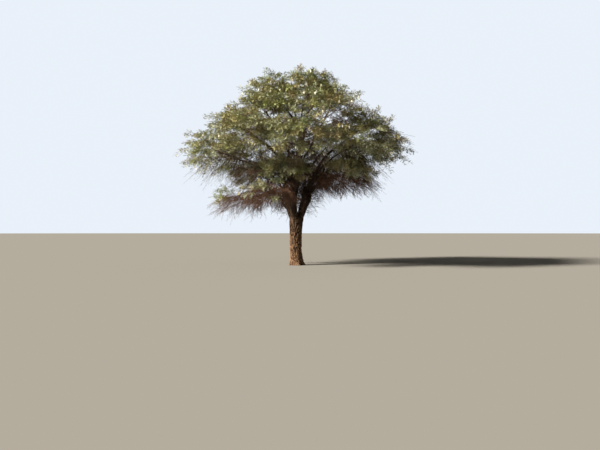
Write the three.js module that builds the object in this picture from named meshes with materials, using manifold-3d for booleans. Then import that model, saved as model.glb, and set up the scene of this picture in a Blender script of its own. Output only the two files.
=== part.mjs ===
// A camel thorn acacia: one trunk, boughs that fork off its head, side boughs, and flat pads of foliage in
// storeys, with bare twigs hanging under them.
// Millimetres. +X is the right of the tree as pictured, -Y its front, +Z up. The origin is the middle of the
// flat cut under the trunk, at ground level.
import * as THREE from "three";
import { mergeVertices } from "three/addons/utils/BufferGeometryUtils.js";
import Module from "manifold-3d";

const wasm = await Module();
wasm.setup();

// The trunk, from the ground to its fork
const TRUNK_HEAD = 2560; // top of the rounded head that the boughs leave
const TRUNK_RADIUS = 292; // at chest height
const ROOT_FLARE = 0.4; // how much wider the foot is, as a share of the radius
const ROOT_FLARE_HEIGHT = 200; // the flare falls to a third in this height
const ROOT_LOBES = 5;
const LOBE_DEPTH = 0.16;
const LOBE_TURN = 0.6; // radians
const FORK_SWELL = 0.25; // how much wider the trunk is where it forks, below each bough
const FORK_FLUTE = 0.4; // the share of that between two boughs
const FORK_SHARP = 6; // how sharply the swelling under a bough stands out
const FORK_SWELL_FROM = 1450;
const HEAD_FROM = 2130; // above this the head rounds over
const HEAD_ROUND = 460;
const TRUNK_BOW = 62; // at mid height the trunk bows this far to the left
const TRUNK_SIDES = 16;
const TRUNK_STEPS = 11;
const RINGS_CLOSER = 0.09; // how much closer the trunk's rings lie at its foot and head

// Boughs
const CLEAR = 0.3; // gap between pieces that touch
const KEEP_OFF = 14; // foliage stays this far from every bough
const MAIN_ROOT = 132;
const MAIN_TIP = 44;
const SIDE_TIP = 33;
const LEAST_SIDE_ROOT = 40;
const TOP_APART = 0.1; // how far apart the top pads' boughs leave the leader, as a share of its length
const SIDE_SCATTER = 0.11; // how far the other side boughs are scattered along their parents
const SIDE_SHARE = 0.6; // a side bough's root radius, as a share of its parent's there
const BOUGH_TAPER = 0.85; // the power of a bough's length by which it thins
const COLLAR = 0.3; // swelling at a bough's root, as a share of its radius
const COLLAR_LENGTH = 0.07; // as a share of the bough's length
const LEADER_RISE = 5; // how steeply a bough leaves its parent: its rise over its reach
const MAIN_RISE = 1.5;
const LOW_RISE = 1.3;
const SIDE_RISE = 0.45;
const REACH_OUT = 0.4; // how far a bough holds its first and last direction, as a share of its span
const CROOK = 0.03; // how far a bough strays from its curve, as a share of its span
const CROOK_WAVES = 1.8;
const MAIN_SIDES = 6;
const SIDE_SIDES = 5;
const BOUGH_STEP = 700; // length of one straight stretch
const LEAST_STEPS = 4;

// The crown. Each pad of foliage is a ball flattened by FLATNESS
const FLATNESS = 0.6;
const CROWN_SHIFT = 100; // the crown's middle lies this far to the right of the trunk
const PAD_GAP = 30; // least gap between two pads
const HEIGHT_SWING = 3; // pads vary more in height than in reach

// One storey of pads each: how many, the first one's azimuth, their mean reach, height and radius, how
// much these vary, how far the left side hangs lower, the direction in which a bough enters (inward and
// down), how high on its parent a side bough leaves, how far below its middle a pad still has branchlets,
// the branchlets in a pad and the leaf sprays on a branchlet
const STOREYS = {
  shoulder: { count: 6, azimuth: 178, reach: 2750, height: 6750, radius: 1950, vary: 0.05, hang: 0,
    inward: 0.55, down: 0.83, at: 0.5, droop: 0.5, branchlets: 6, sprays: 5, pods: true },
  top: { count: 4, azimuth: 205, reach: 1200, height: 8200, radius: 1650, vary: 0.05, hang: -60,
    inward: 0.4, down: 0.9, at: 0.55, droop: 0.5, branchlets: 5, sprays: 5, pods: true },
  eaves: { count: 8, azimuth: 184, reach: 3800, height: 5750, radius: 2100, vary: 0.05, hang: 0,
    inward: 0.8, down: 0.6, at: 0.46, droop: 0.75, branchlets: 6, sprays: 5 },
  skirt: { count: 6, azimuth: 186, reach: 2750, height: 3600, radius: 1650, vary: 0.06, hang: 650,
    inward: 0.9, down: -0.35, at: 0.2, droop: 0.7, branchlets: 5, sprays: 4 },
  inner: { count: 4, azimuth: 252, reach: 2300, height: 4650, radius: 1550, vary: 0.05, hang: 0,
    inward: 0.7, down: 0.5, at: 0.34, droop: 0.8, branchlets: 4, sprays: 4 },
  bare: { count: 1, azimuth: 203, reach: 3100, height: 4200, radius: 1300, vary: 0.05, hang: 0,
    inward: 0.8, down: -0.3, at: 0.3, droop: 0.9, branchlets: 6, sprays: 0 },
};
const MAIN_BOUGHS = [0, 1, 3, 4, 5]; // the shoulder pads that a bough of the trunk carries
const LOW_BOUGH = 3; // the skirt pad that the low bough on the right carries
const LOW_BOUGH_AT = 0.68; // where that bough leaves the trunk, as a share of its height
const FORK_AT = 0.75; // where the main boughs leave it

// Foliage inside a pad, as shares of the pad's radius where not in millimetres
const STEM_INSET = 0.12; // the stem ends this far past the pad's middle
const STEM_SHARE = 0.7; // branchlets leave this much of the stem, from its tip back
const BRANCHLET_REACH = 0.56;
const BRANCHLET_ROOT = 16; // mm
const BRANCHLET_TIP = 12; // mm
const SPRAY_REACH = 0.46;
const SPRAY_WIDTH = 0.6; // as a share of its length
const SPRAY_THICKNESS = 0.06; // as a share of its length
const SPRAY_SPREAD = 66; // degrees that side sprays lean away from their branchlet
const SPRAYS_FROM = 0.5; // where on a branchlet its sprays start and end
const SPRAYS_TO = 0.97;
const SPRAY_ROLL = 1; // radians that a spray is rolled at most
const POD_LENGTH = 210; // mm, larger than life as the sprays are
const POD_RADIUS = 32;
const POD_TIP_RADIUS = 9;
const POD_BEND = 0.45; // how far its middle is pulled out, as a share of its length, and where
const POD_BEND_AT = 0.4;
const POD_SIDES = 4;
const POD_STEPS = 3;
const POD_BRANCHLET = 2; // the branchlet that a pod hangs from, and where on it
const POD_AT = 0.42;
const BARE_TWIGS = 2; // on each branchlet of a bare pad
const FIRST_DOWN = 0.2; // how far the first branchlet is from the pad's top, in steps between branchlets

const GOLDEN_ANGLE = Math.PI * (3 - Math.sqrt(5));
const SEED = 4127;
const DICE_PRIME = 67108859;
const UP = new THREE.Vector3(0, 0, 1);
const radians = THREE.MathUtils.degToRad;
const mix = THREE.MathUtils.lerp;

// A number from 0 to 1 that depends only on whole-number keys
function dice(...keys) {
  let x = SEED;
  for (const key of [...keys, 1, 2]) x = (x * x + key * 7919 + 104729) % DICE_PRIME;
  return x / DICE_PRIME;
}

const vector = (x, y, z) => new THREE.Vector3(x, y, z);
const squashed = (p) => vector(p.x, p.y, p.z / FLATNESS); // where every pad is a ball
const unsquashed = (p) => vector(p.x, p.y, p.z * FLATNESS);

// A closed three.js geometry as a solid that can be joined and cut
function solidOf(geometry) {
  const bare = geometry.clone();
  bare.deleteAttribute("normal");
  bare.deleteAttribute("uv");
  const merged = mergeVertices(bare, 1e-3);
  return new wasm.Manifold(new wasm.Mesh({
    numProp: 3,
    vertProperties: new Float32Array(merged.attributes.position.array),
    triVerts: new Uint32Array(merged.index.array),
  }));
}

// The largest body of a solid, without its sealed hollows and loose scraps
function largestBody(solid) {
  return solid.decompose().reduce((best, body) => (body.volume() > best.volume() ? body : best));
}

function geometryOf(solid) {
  const mesh = solid.getMesh();
  const geometry = new THREE.BufferGeometry();
  geometry.setAttribute("position", new THREE.BufferAttribute(mesh.vertProperties, 3));
  geometry.setIndex(new THREE.BufferAttribute(mesh.triVerts, 1));
  geometry.computeVertexNormals();
  return geometry;
}

function boxesMeet(a, b) {
  return [0, 1, 2].every((i) => a.min[i] <= b.max[i] && b.min[i] <= a.max[i]);
}

function meet(a, b) {
  return boxesMeet(a.boundingBox(), b.boundingBox()) && !a.intersect(b).isEmpty();
}

// A curve that leaves one point in one direction and arrives at another, crooked on the way
class BoughCurve extends THREE.CubicBezierCurve3 {
  constructor(from, leave, to, arrive, key) {
    const hold = from.distanceTo(to) * REACH_OUT;
    super(from, from.clone().addScaledVector(leave, hold), to.clone().addScaledVector(arrive, -hold), to);
    this.side = to.clone().sub(from).cross(UP).normalize();
    this.stray = from.distanceTo(to) * CROOK;
    this.phase = dice(key, 71) * 2 * Math.PI;
  }

  getPoint(t, target) {
    const wave = Math.sin(Math.PI * t) ** 2 * Math.sin(CROOK_WAVES * 2 * Math.PI * t + this.phase);
    return super.getPoint(t, target).addScaledVector(this.side, this.stray * wave);
  }
}

// The trunk's middle line
class TrunkCurve extends THREE.Curve {
  constructor() {
    super();
    this.side = vector(0, 1, 0);
  }

  getPoint(t, target = vector(0, 0, 0)) {
    return target.set(-TRUNK_BOW * Math.sin(Math.PI * t), 0, TRUNK_HEAD * t);
  }

  getTangent(t, target = vector(0, 0, 0)) {
    return target.copy(UP); // every ring of the trunk is level, the cut at its foot among them
  }
}

// A closed tube round a curve: a cylinder whose rings are carried to the curve and given their radius there.
// `extra` makes it that much thicker and longer at both ends.
function tube(curve, radiusAt, sides, steps, extra = 0, spacing = (t) => t) {
  const geometry = new THREE.CylinderGeometry(1, 1, 1, sides, steps);
  const place = geometry.attributes.position;
  for (let i = 0; i < place.count; i++) {
    const t = spacing(place.getY(i) + 0.5);
    const along = curve.getTangent(t);
    const past = extra * Math.trunc(2 * place.getY(i));
    const across = curve.side.clone().addScaledVector(along, -curve.side.dot(along)).normalize();
    const third = across.clone().cross(along);
    const [a, b] = [place.getX(i), place.getZ(i)];
    const radius = radiusAt(t, Math.atan2(a, b)) + extra;
    const point = curve.getPoint(t).addScaledVector(across, a * radius).addScaledVector(third, b * radius);
    point.addScaledVector(along, past);
    place.setXYZ(i, point.x, point.y, point.z);
  }
  return solidOf(geometry);
}

// The trunk: nearly straight sides, a lobed root flare, a swelling under each bough and a rounded head
function growTrunk(forks) {
  const curve = new TrunkCurve();
  const radiusAt = (t, turn) => {
    const z = TRUNK_HEAD * t;
    const foot = Math.exp(-z / ROOT_FLARE_HEIGHT);
    const lobes = LOBE_DEPTH * foot * Math.cos(ROOT_LOBES * turn + LOBE_TURN);
    const facing = Math.max(...forks.map((out) => out.x * Math.cos(turn) + out.y * Math.sin(turn)));
    const ridge = mix(FORK_FLUTE, 1, Math.exp(FORK_SHARP * (facing - 1)));
    const swell = FORK_SWELL * ridge * THREE.MathUtils.smoothstep(z, FORK_SWELL_FROM, TRUNK_HEAD);
    const head = Math.sqrt(1 - (Math.max(0, z - HEAD_FROM) / HEAD_ROUND) ** 2);
    return TRUNK_RADIUS * (1 + ROOT_FLARE * foot + lobes + swell) * head;
  };
  const spacing = (t) => t - RINGS_CLOSER * Math.sin(2 * Math.PI * t);
  const body = (extra) => tube(curve, radiusAt, TRUNK_SIDES, TRUNK_STEPS, extra, spacing);
  return { curve, radiusAt, solid: body(0), clearance: body(CLEAR), sleeve: body(KEEP_OFF) };
}

// A tapering bough that starts in the middle of its parent, less what lies in the boughs grown before it
function growBough(curve, root, tip, sides, grown) {
  const radiusAt = (t) => mix(root, tip, t ** BOUGH_TAPER) * (1 + COLLAR * Math.exp(-t / COLLAR_LENGTH));
  const steps = Math.max(LEAST_STEPS, Math.round(curve.getLength() / BOUGH_STEP));
  const body = (extra) => tube(curve, radiusAt, sides, steps, extra);
  let solid = body(0);
  for (const other of grown) {
    if (meet(solid, other.solid)) solid = largestBody(solid.subtract(other.clearance));
  }
  return { curve, radiusAt, solid, clearance: body(CLEAR), sleeve: body(KEEP_OFF) };
}

// The pads of one storey, set round the crown's middle
function padsOf(storey, s) {
  const { count, azimuth, reach, height, radius, vary, hang, inward, down } = STOREYS[storey];
  return Array.from({ length: count }, (_, k) => {
    const swing = (key) => vary * (2 * dice(s, k, key) - 1);
    const turn = radians(azimuth + (360 / count) * (k + 2 * swing(1)));
    const out = vector(Math.cos(turn), Math.sin(turn), 0);
    const lift = hang * out.x + swing(3) * HEIGHT_SWING * radius;
    const middle = vector(CROWN_SHIFT, 0, height + lift).addScaledVector(out, reach * (1 + swing(2)));
    const size = radius * (1 + swing(4));
    const way = out.clone().multiplyScalar(-inward).addScaledVector(UP, -down).normalize();
    const entry = unsquashed(squashed(middle).addScaledVector(way, size));
    const stemTip = middle.clone().addScaledVector(out, size * STEM_INSET);
    return { storey, k, out, size, entry, stemTip, ball: squashed(middle), key: 100 * s + k };
  });
}

// The bough that carries a pad, from its parent to the pad's edge
function boughTo(pad, parent, at, root, main, rise, grown) {
  const from = parent.curve.getPoint(at);
  const arrive = pad.stemTip.clone().sub(pad.entry).normalize();
  const leave = pad.out.clone().addScaledVector(UP, rise).normalize();
  pad.arrive = arrive;
  const curve = new BoughCurve(from, leave, pad.entry, arrive, pad.key);
  pad.bough = growBough(curve, root, main ? MAIN_TIP : SIDE_TIP, main ? MAIN_SIDES : SIDE_SIDES, grown);
  pad.stemRadius = pad.bough.radiusAt(1);
  grown.push(pad.bough);
}

// The trunk and every bough: a leader up to the first top pad, the boughs that fork off the trunk's head, the
// low bough, and side boughs off the nearest of these
function growLimbs(pads) {
  const mains = pads.filter((p) => p.storey === "shoulder" && MAIN_BOUGHS.includes(p.k));
  const trunk = growTrunk(mains.map((p) => p.out));
  const grown = [trunk];
  const leader = pads.find((p) => p.storey === "top");
  boughTo(leader, trunk, FORK_AT, MAIN_ROOT, true, LEADER_RISE, grown);
  for (const pad of mains) boughTo(pad, trunk, FORK_AT, MAIN_ROOT, true, MAIN_RISE, grown);
  const low = pads.find((p) => p.storey === "skirt" && p.k === LOW_BOUGH);
  boughTo(low, trunk, LOW_BOUGH_AT, MAIN_ROOT * SIDE_SHARE, false, LOW_RISE, grown);
  const turnBetween = (a, b) => Math.acos(THREE.MathUtils.clamp(a.out.dot(b.out), -1, 1));
  for (const pad of pads) {
    if (pad.bough) continue;
    const nearest = mains.reduce((best, m) => (turnBetween(m, pad) < turnBetween(best, pad) ? m : best));
    const parent = pad.storey === "top" ? leader.bough : nearest.bough;
    const apart = pad.storey === "top" ? TOP_APART * pad.k : 0;
    const at = STOREYS[pad.storey].at + apart + SIDE_SCATTER * (dice(pad.key, 5) - 0.5);
    const root = Math.max(LEAST_SIDE_ROOT, parent.radiusAt(at) * SIDE_SHARE);
    boughTo(pad, parent, at, root, false, SIDE_RISE, grown);
  }
  return grown;
}

// True where a point lies in a pad's ball and nearer to it than to any other pad. Such a space has no
// dents, so a straight piece whose corners all lie in it does too.
function inSpace(pad, pads, point) {
  const place = squashed(point);
  const power = (p) => place.distanceToSquared(p.ball) - p.size ** 2;
  const own = power(pad);
  const gap = 2 * PAD_GAP * pad.size;
  return own < 0 && pads.every((p) => p === pad || own + gap < power(p));
}

// A twig: a three-sided cone frustum from one point to another, `extra` thicker and longer at both ends
function twig(from, to, root, tip, extra = 0) {
  const line = new THREE.LineCurve3(from, to);
  line.side = to.clone().sub(from).cross(UP).normalize();
  return tube(line, (t) => mix(root, tip, t), 3, 1, extra);
}

// A pad's stem, which carries on from its bough, and the sleeve round it that other pads' twigs stay out of
function growStem(pad) {
  pad.stemFoot = pad.entry.clone().addScaledVector(pad.arrive, CLEAR);
  const body = (extra) => twig(pad.stemFoot, pad.stemTip, pad.stemRadius, BRANCHLET_ROOT, extra);
  pad.stem = body(0);
  pad.stemSleeve = body(KEEP_OFF);
}

function cornersOf(solid) {
  const places = solid.getMesh().vertProperties;
  return Array.from({ length: places.length / 3 }, (_, i) => new THREE.Vector3().fromArray(places, 3 * i));
}

// A spray of leaves: a flat eight-faced lens whose point starts in the middle of its twig
function spray(foot, tip, roll) {
  const along = tip.clone().sub(foot);
  const length = along.length();
  along.normalize();
  const across = along.clone().cross(UP).normalize().applyAxisAngle(along, roll);
  const lens = new THREE.OctahedronGeometry(1, 0);
  lens.scale(length / 2, (length * SPRAY_WIDTH) / 2, (length * SPRAY_THICKNESS) / 2);
  lens.translate(length / 2, 0, 0);
  const turned = new THREE.Matrix4().makeBasis(along, across, along.clone().cross(across)).setPosition(foot);
  return solidOf(lens.applyMatrix4(turned));
}

// A pod: a fat crescent that hangs from a twig
function pod(top, out) {
  const foot = top.clone().addScaledVector(UP, -POD_LENGTH);
  const bend = top.clone().lerp(foot, POD_BEND_AT).addScaledVector(out, POD_BEND * POD_LENGTH);
  const crescent = new THREE.QuadraticBezierCurve3(top, bend, foot);
  crescent.side = out;
  const radiusAt = (t) => mix(POD_TIP_RADIUS, POD_RADIUS, Math.sin(Math.PI * t));
  return tube(crescent, radiusAt, POD_SIDES, POD_STEPS);
}

// Directions spread evenly over a ball, from its top to `droop` below its middle
function spreadOver(i, count, turn, droop) {
  const z = 1 - ((1 + droop) * (i + FIRST_DOWN)) / count;
  const flat = Math.sqrt(1 - z * z);
  const angle = GOLDEN_ANGLE * i + turn;
  return vector(flat * Math.cos(angle), flat * Math.sin(angle), z);
}

// The direction of side shoot j round a branchlet that points along `way`
function sideways(way, j, lean, turn) {
  const across = way.clone().cross(UP).normalize();
  const angle = GOLDEN_ANGLE * j + turn;
  const around = across.applyAxisAngle(way, angle);
  return way.clone().multiplyScalar(Math.cos(lean)).addScaledVector(around, Math.sin(lean));
}

// A pad of foliage: its stem, branchlets off it, and sprays or bare twigs on those. What would leave the
// pad's space or come near a bough or another stem is skipped.
function growPad(pad, pads, grown) {
  const { branchlets, sprays, pods, droop } = STOREYS[pad.storey];
  const otherStems = pads.filter((p) => p !== pad).map((p) => p.stemSleeve);
  const sleeves = [...grown.map((b) => b.sleeve), ...otherStems];
  const inside = (solid) => cornersOf(solid).every((p) => inSpace(pad, pads, p));
  const free = (solid) => inside(solid) && !sleeves.some((s) => meet(solid, s));
  const wood = [pad.stem];
  const leaves = [];
  const phase = dice(pad.key, 9) * 2 * Math.PI;
  for (let i = 0; i < branchlets; i++) {
    const way = spreadOver(i, branchlets, phase, droop);
    const foot = pad.stemFoot.clone().lerp(pad.stemTip, 1 - (STEM_SHARE * (i + 0.5)) / branchlets);
    const tip = unsquashed(pad.ball.clone().addScaledVector(way, pad.size * BRANCHLET_REACH));
    const branchlet = twig(foot, tip, BRANCHLET_ROOT, BRANCHLET_TIP);
    if (!free(branchlet)) continue;
    wood.push(branchlet);
    if (i === POD_BRANCHLET && pods) {
      const top = foot.clone().lerp(tip, POD_AT);
      const hanging = pod(top, pad.out);
      if (free(hanging)) leaves.push(hanging);
    }
    const shoots = sprays || BARE_TWIGS;
    for (let j = 0; j < shoots; j++) {
      const root = foot.clone().lerp(tip, mix(SPRAYS_FROM, SPRAYS_TO, (j + 1) / shoots));
      const lean = j === shoots - 1 ? 0 : radians(SPRAY_SPREAD);
      const aim = sideways(way, j, lean, dice(pad.key, i, 3) * 2 * Math.PI);
      const end = unsquashed(squashed(root).addScaledVector(aim, pad.size * SPRAY_REACH));
      const roll = SPRAY_ROLL * (2 * dice(pad.key, i, j, 4) - 1);
      const piece = sprays ? spray(root, end, roll) : twig(root, end, BRANCHLET_TIP, BRANCHLET_TIP / 2);
      if (free(piece) && !leaves.some((leaf) => meet(piece, leaf))) leaves.push(piece);
    }
  }
  return largestBody([...wood, ...leaves].reduce((joined, piece) => joined.add(piece)));
}

const BARK = new THREE.MeshStandardMaterial({ color: 0x6e543c, roughness: 0.95, metalness: 0 });
const LEAF = new THREE.MeshStandardMaterial({ color: 0x6a6845, roughness: 0.8, metalness: 0 });
const DRY_TWIG = new THREE.MeshStandardMaterial({ color: 0x5c4030, roughness: 0.9, metalness: 0 });

const tree = new THREE.Group();
function addPiece(name, solid, material) {
  const mesh = new THREE.Mesh(geometryOf(solid), material);
  mesh.name = name;
  tree.add(mesh);
}

const pads = Object.keys(STOREYS).flatMap(padsOf);
const grown = growLimbs(pads);
pads.forEach(growStem);
addPiece("trunk", grown[0].solid, BARK);
for (const pad of pads) {
  addPiece(`bough_${pad.storey}_${pad.k + 1}`, pad.bough.solid, BARK);
  const leafy = STOREYS[pad.storey].sprays > 0;
  const name = `${leafy ? "foliage" : "twigs"}_${pad.storey}_${pad.k + 1}`;
  addPiece(name, growPad(pad, pads, grown), leafy ? LEAF : DRY_TWIG);
}

export default tree;
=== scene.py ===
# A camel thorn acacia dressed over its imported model: furrowed bark on the trunk and boughs, fine twigs,
# feathered leaves in flat layered pads, dry hanging twigs and pods.
# Metres. +X is the right of the tree as pictured, -Y its front, +Z up.
import bpy
import numpy as np
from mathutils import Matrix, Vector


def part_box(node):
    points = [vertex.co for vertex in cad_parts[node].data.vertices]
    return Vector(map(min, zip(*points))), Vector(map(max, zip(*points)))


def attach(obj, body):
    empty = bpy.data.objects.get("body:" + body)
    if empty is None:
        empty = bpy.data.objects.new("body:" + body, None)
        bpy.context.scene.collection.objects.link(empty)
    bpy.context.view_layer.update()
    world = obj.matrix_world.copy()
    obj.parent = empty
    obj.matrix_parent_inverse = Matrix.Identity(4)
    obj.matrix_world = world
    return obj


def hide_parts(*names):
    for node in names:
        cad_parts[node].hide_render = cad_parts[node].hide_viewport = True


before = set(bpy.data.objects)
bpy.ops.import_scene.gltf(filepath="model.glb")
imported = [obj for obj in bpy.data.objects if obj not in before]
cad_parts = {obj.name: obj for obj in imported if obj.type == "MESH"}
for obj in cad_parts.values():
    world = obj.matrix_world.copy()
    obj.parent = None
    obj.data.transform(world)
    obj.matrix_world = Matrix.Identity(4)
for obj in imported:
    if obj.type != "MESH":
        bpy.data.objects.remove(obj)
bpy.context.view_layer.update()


# The trunk: living wood under thick, furrowed grey-brown bark. It stands on its roots, flares where it meets
# the ground, and swells under each bough that forks off its head, so its ridges run up into the boughs.
TRUNK_HEAD = 2.56  # its top
TRUNK_RADIUS = 0.292
TRUNK_BOW = 0.062  # how far its middle stands to the left of its ends
ROOT_FLARE_HEIGHT = 0.2
FORK_SWELL_FROM = 1.45
HEAD_FROM = 2.13
HEAD_ROUND = 0.46
# Flare, lobes, lumps and swellings are shares of the radius
ROOT_FLARE = 0.4
ROOT_LOBES = 5
LOBE_DEPTH = 0.16
LOBE_TURN = 0.6
TRUNK_LUMPS = 0.035
FORKING_PADS = (1, 2, 4, 5, 6)  # the shoulder pads whose boughs leave the trunk's head
FORK_SWELL = 0.25
FORK_FLUTE = 0.4  # the share of the swelling left between two boughs
FORK_SHARP = 6
CROTCH = 0.65  # how far the head draws in between two boughs
BARK_AROUND = 288  # the mesh's points round and up
BARK_UP = 338
TRUNK_PLATES = 31  # bark plates round the trunk
PLATE_HEIGHT = 0.3
SCALES = 66  # smaller scales on the plates, round the trunk
SCALE_HEIGHT = 0.09
SCALE_SHARE = 0.22  # their depth as a share of the plates'
BARK_DEPTH = 0.042
BARK_PROUD = 0.12  # the share of it that stands out of the trunk's own surface
HEAD_SMOOTH = 0.8  # the share of the relief that is gone at its top
# The shape of one plate, in plates and in shares of its depth
PLATE_STRAY = 0.8  # how far a plate's middle strays in its cell of the grid
FURROW_WANDER = 0.4
FURROW_CRINKLE = 0.13
PLATE_STEEP = 2.1  # how steeply it rises out of its furrow, and the power that flattens its top
PLATE_POWER = 0.6
PLATE_CHIPS = 0.13
PLATE_WORN = 0.1
ROW_SHIFT = 50  # keeps the numbers of rows above 0
# The colour of bark
BARK_ROUGHNESS = 0.95
BARK_SHINE = 0.12
PAINTED_SHADE_HEIGHTS = (1.4, 2.5)  # where the bark's own low tone gives way to the dark high one, which is painted shade of the crown
CRACK_STRETCH = 0.22  # cracks change this much more slowly upwards than sideways
CRACK_DETAIL = 9
CRACK_ROUGHNESS = 0.68
FURROW_RANGE = (0.05, 0.46)  # relief times cracks, from the furrow's near-black colour, partly its own and partly painted shade, to the plate's
BLOTCH_SCALE = 3.1
BLOTCH_DETAIL = 3
WEATHERED_SATURATION = 0.72
WEATHERED_BRIGHTNESS = 1.15
SPECKLE_FINER = 3.2  # than the cracks
SPECKLE_DETAIL = 4
SPECKLE_RANGE = (0.3, 0.7)
SPECKLE_LIGHT = (0.5, 1.35)  # how dark and light speckles make the bark
GRAIN_BUMP = 0.02
TURNS = 2 * np.pi
SEED = 4127
DICE_PRIME = 67108859
DICE_STEP = 7919
DICE_START = 104729
MIX_SOCKETS = (0, 6, 7)  # of a Mix node: the share and the two colours
MIX_OUTPUT = 2


def dice(*keys):
    """A number from 0 to 1 that depends only on whole-number keys; the last says what it is for. For each
    key, x becomes what is left of x squared plus a multiple of the key after dividing by a prime."""
    x = np.asarray(SEED, dtype=np.int64)
    for key in (*keys, 1, 2):
        x = (x * x + np.asarray(key, dtype=np.int64) * DICE_STEP + DICE_START) % DICE_PRIME
    return x / DICE_PRIME


def waver(turn, along, key, finest=5, waves=9):
    """A smooth random wave from about -1 to 1: the sum of sines, each going a whole number of times round and
    at its own pace along, over the square root of their number."""
    total = 0
    for w in range(waves):
        around = np.floor((finest + 1) * dice(key, w, 1))
        pace = finest * (2 * dice(key, w, 2) - 1)
        total = total + np.sin(around * turn + pace * along + TURNS * dice(key, w, 3))
    return total / np.sqrt(waves)


def bark_plates(turn, along, plates, tall, key):
    """Bark: one point is strewn at random in each cell of a grid with staggered columns, `plates` cells round
    and each `tall` metres high. A furrow lies where a place is equally far from its two nearest points; the
    height is the difference of the two distances, raised steeply to a flat top, from 0 in a furrow to 1,
    with wavering lines and chipped tops."""
    across = (turn / TURNS * plates + FURROW_WANDER * waver(turn, along * 2, key)
              + FURROW_CRINKLE * waver(turn, along, key + 1, finest=30))
    up = along / tall + FURROW_WANDER * waver(turn, along * 2, key + 2)
    column = np.floor(across).astype(int)
    nearest = np.full(across.shape, np.inf)
    second = np.full(across.shape, np.inf)
    for beside, above in np.ndindex(3, 3):
        c = column + beside - 1
        stagger = dice(key, c % plates, 63)
        r = np.floor(up + stagger).astype(int) + above - 1
        cell = (key, c % plates, r + ROW_SHIFT)
        x = c + 0.5 + PLATE_STRAY * (dice(*cell, 61) - 0.5)
        y = r + 0.5 + PLATE_STRAY * (dice(*cell, 62) - 0.5) - stagger
        far = np.hypot(across - x, up - y)
        second = np.minimum(second, np.maximum(nearest, far))
        nearest = np.minimum(nearest, far)
    chips = PLATE_CHIPS * waver(turn, along, key + 3, finest=60, waves=24)
    top = np.minimum(PLATE_STEEP * (second - nearest), 1) ** PLATE_POWER
    return np.clip(top + chips - PLATE_WORN, 0, 1)


def new_mesh(name, points, faces, material, smooth=True):
    """A mesh object at the origin from points and arrays of faces, each array with one count of corners."""
    faces = [f.reshape(-1, f.shape[-1]) for f in faces]
    sizes = np.concatenate([np.full(len(f), f.shape[1]) for f in faces])
    mesh = bpy.data.meshes.new(name)
    mesh.vertices.add(len(points))
    mesh.vertices.foreach_set("co", np.ascontiguousarray(points, dtype=np.float32).ravel())
    mesh.loops.add(int(sizes.sum()))
    mesh.loops.foreach_set("vertex_index", np.concatenate([f.ravel() for f in faces]).astype(np.int32))
    mesh.polygons.add(len(sizes))
    mesh.polygons.foreach_set("loop_start", (np.cumsum(sizes) - sizes).astype(np.int32))
    mesh.polygons.foreach_set("use_smooth", np.full(len(sizes), smooth))
    mesh.update(calc_edges=True)
    mesh.materials.append(material)
    piece = bpy.data.objects.new(name, mesh)
    bpy.context.scene.collection.objects.link(piece)
    return piece


def tube_net(rows, around):
    """The numbers of a tube's points, ring by ring, of those beside them, and of the quads between rings."""
    place = np.arange(rows * around).reshape(rows, around)
    beside = np.roll(place, -1, axis=1)
    return place, beside, np.stack([place[:-1], beside[:-1], beside[1:], place[1:]], axis=-1).reshape(-1, 4)


def skin(name, rings, furrow, material):
    """A closed tube from an array of rings (rows, around, 3): quads between rings and a fan to a middle point
    at each end. `furrow`, one number a point, goes into an attribute of that name for the material."""
    rows, around = rings.shape[:2]
    middles = [rings[row].mean(0, keepdims=True) for row in (0, -1)]
    points = np.concatenate([rings.reshape(-1, 3), *middles])
    place, beside, sides = tube_net(rows, around)
    foot = np.stack([beside[0], place[0], np.full(around, rows * around)], axis=-1)
    tip = np.stack([place[-1], beside[-1], np.full(around, rows * around + 1)], axis=-1)
    piece = new_mesh(name, points, [sides, foot, tip], material)
    attribute = piece.data.attributes.new("furrow", "FLOAT", "POINT")
    ends = [furrow[0].mean(), furrow[-1].mean()]
    attribute.data.foreach_set("value", np.concatenate([furrow.ravel(), ends]).astype(np.float32))
    return piece


def add_node(owner, kind, links=(), **settings):
    """A shader node of a material or world with its settings; links are (its socket, what feeds it)."""
    node = owner.node_tree.nodes.new(kind)
    for key, value in settings.items():
        setattr(node, key, value)
    for socket, source in links:
        owner.node_tree.links.new(source, node.inputs[socket])
    return node


def noise(material, place, scale, detail, roughness=0.5):
    """Cloudy noise from 0 to 1 over a place."""
    node = add_node(material, "ShaderNodeTexNoise", [("Vector", place)])
    for socket, value in (("Scale", scale), ("Detail", detail), ("Roughness", roughness)):
        node.inputs[socket].default_value = value
    return node.outputs["Fac"]


def ranged(material, value, start, end, low=0, high=1):
    """A value that goes from low to high as its source goes from start to end, and no further."""
    node = add_node(material, "ShaderNodeMapRange", [("Value", value)])
    for socket, limit in (("From Min", start), ("From Max", end), ("To Min", low), ("To Max", high)):
        node.inputs[socket].default_value = limit
    return node.outputs["Result"]


def mixed(material, share, first, second):
    """Two colours mixed by the share of the second; each is three numbers or the output of a node."""
    node = add_node(material, "ShaderNodeMix", data_type="RGBA")
    for socket, source in zip(MIX_SOCKETS, (share, first, second)):
        if isinstance(source, tuple):
            node.inputs[socket].default_value = (*source, 1)
        else:
            material.node_tree.links.new(source, node.inputs[socket])
    return node.outputs[MIX_OUTPUT]


def plain_material(name, colour, roughness, specular=0.2):
    """A material whose shader has a base colour, a roughness and a dull shine of its own."""
    material = bpy.data.materials.new(name)
    material.use_nodes = True
    shader = material.node_tree.nodes["Principled BSDF"]
    shader.inputs["Base Color"].default_value = (*colour, 1)
    shader.inputs["Roughness"].default_value = roughness
    shader.inputs["Specular IOR Level"].default_value = specular
    return material, shader


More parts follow.
